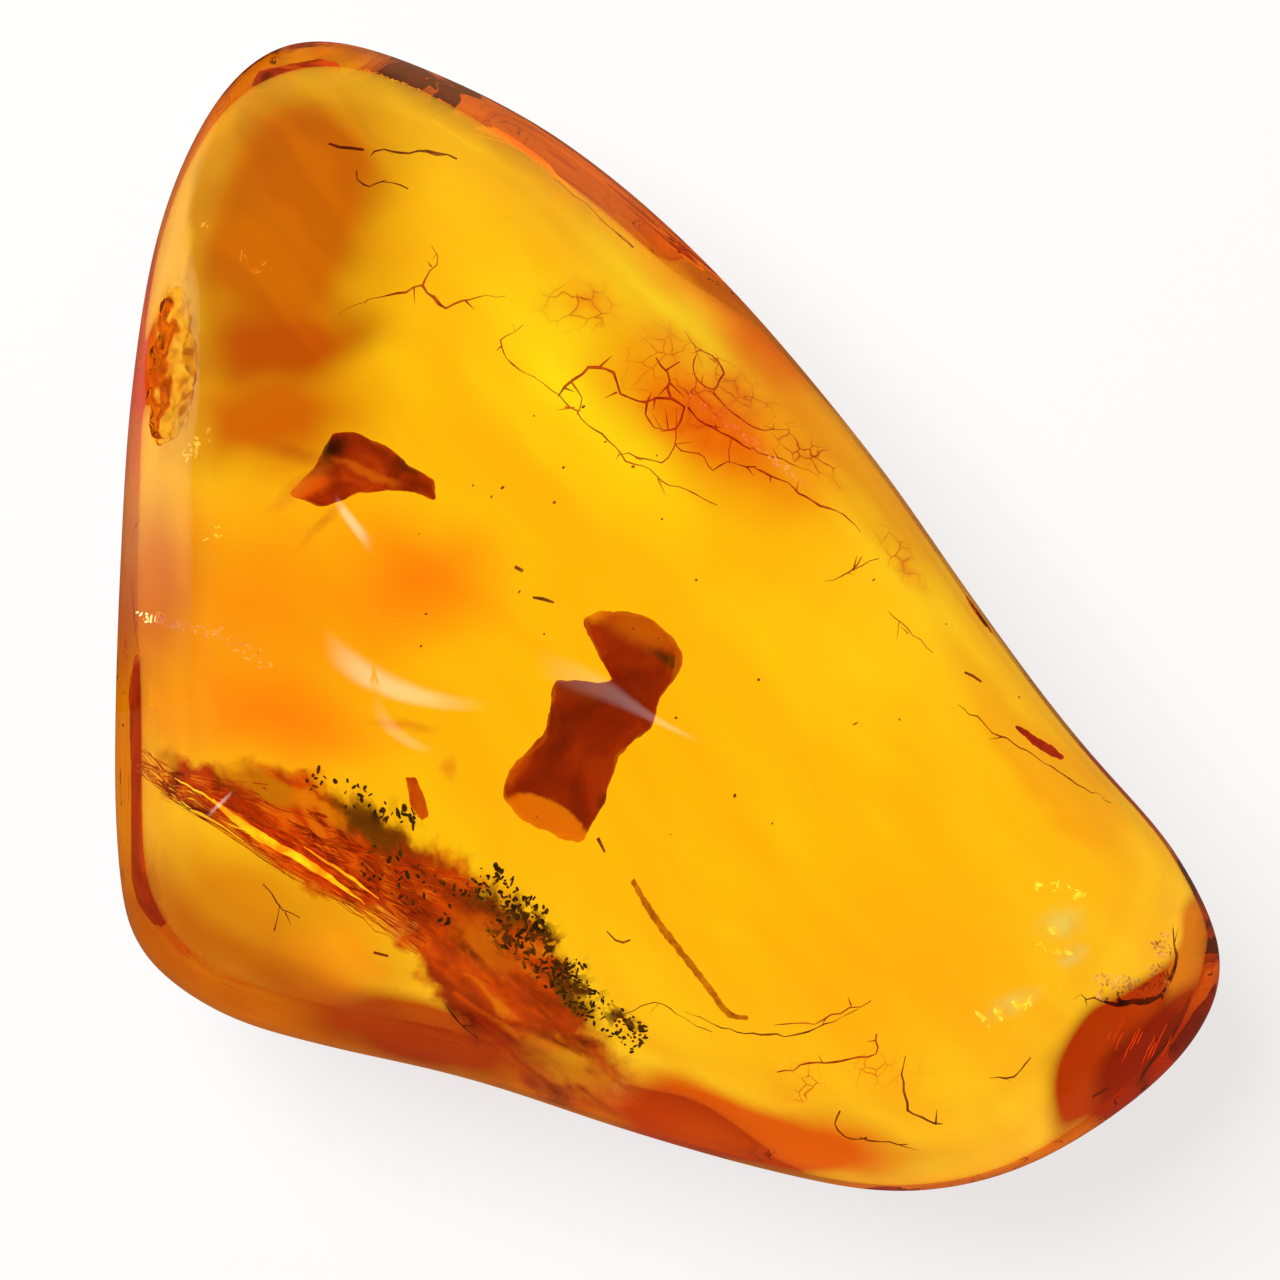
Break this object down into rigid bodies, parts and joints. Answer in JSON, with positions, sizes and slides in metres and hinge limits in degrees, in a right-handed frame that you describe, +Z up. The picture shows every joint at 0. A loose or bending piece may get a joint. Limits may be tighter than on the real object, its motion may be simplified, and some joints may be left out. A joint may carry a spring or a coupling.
{
  "type": "polished amber pebble",
  "caption": "Polished see-through amber pebble with bark, a bud scale and plant debris sealed inside, for display as a fossil specimen.",
  "frame": {"origin": "under the middle of the pebble's bounding box, in the plane of the flat it rests on", "axes": "+Z up, through the thin direction of the pebble; +Y towards its narrow end's top edge as seen from above, +X to the right"},
  "size_m": [0.0442, 0.0458, 0.0189],
  "materials": {
    "amber": "clear golden amber, polished",
    "bark": "red-brown bark, matte",
    "husk": "red-brown bud scale, matte",
    "leaf": "orange-brown leaf flake",
    "debris": "brown plant debris, rough",
    "hair": "brown plant hair",
    "red_resin": "dark red resin sliver"
  },
  "bodies": {
    "root": {"amber_lower": "amber", "amber_upper": "amber", "bark_chip": "bark", "bud_husk": "husk", "leaf_flake": "leaf", "debris_seam": "debris", "plant_hair": "hair", "red_sliver": "red_resin"}
  },
  "joints": []
}
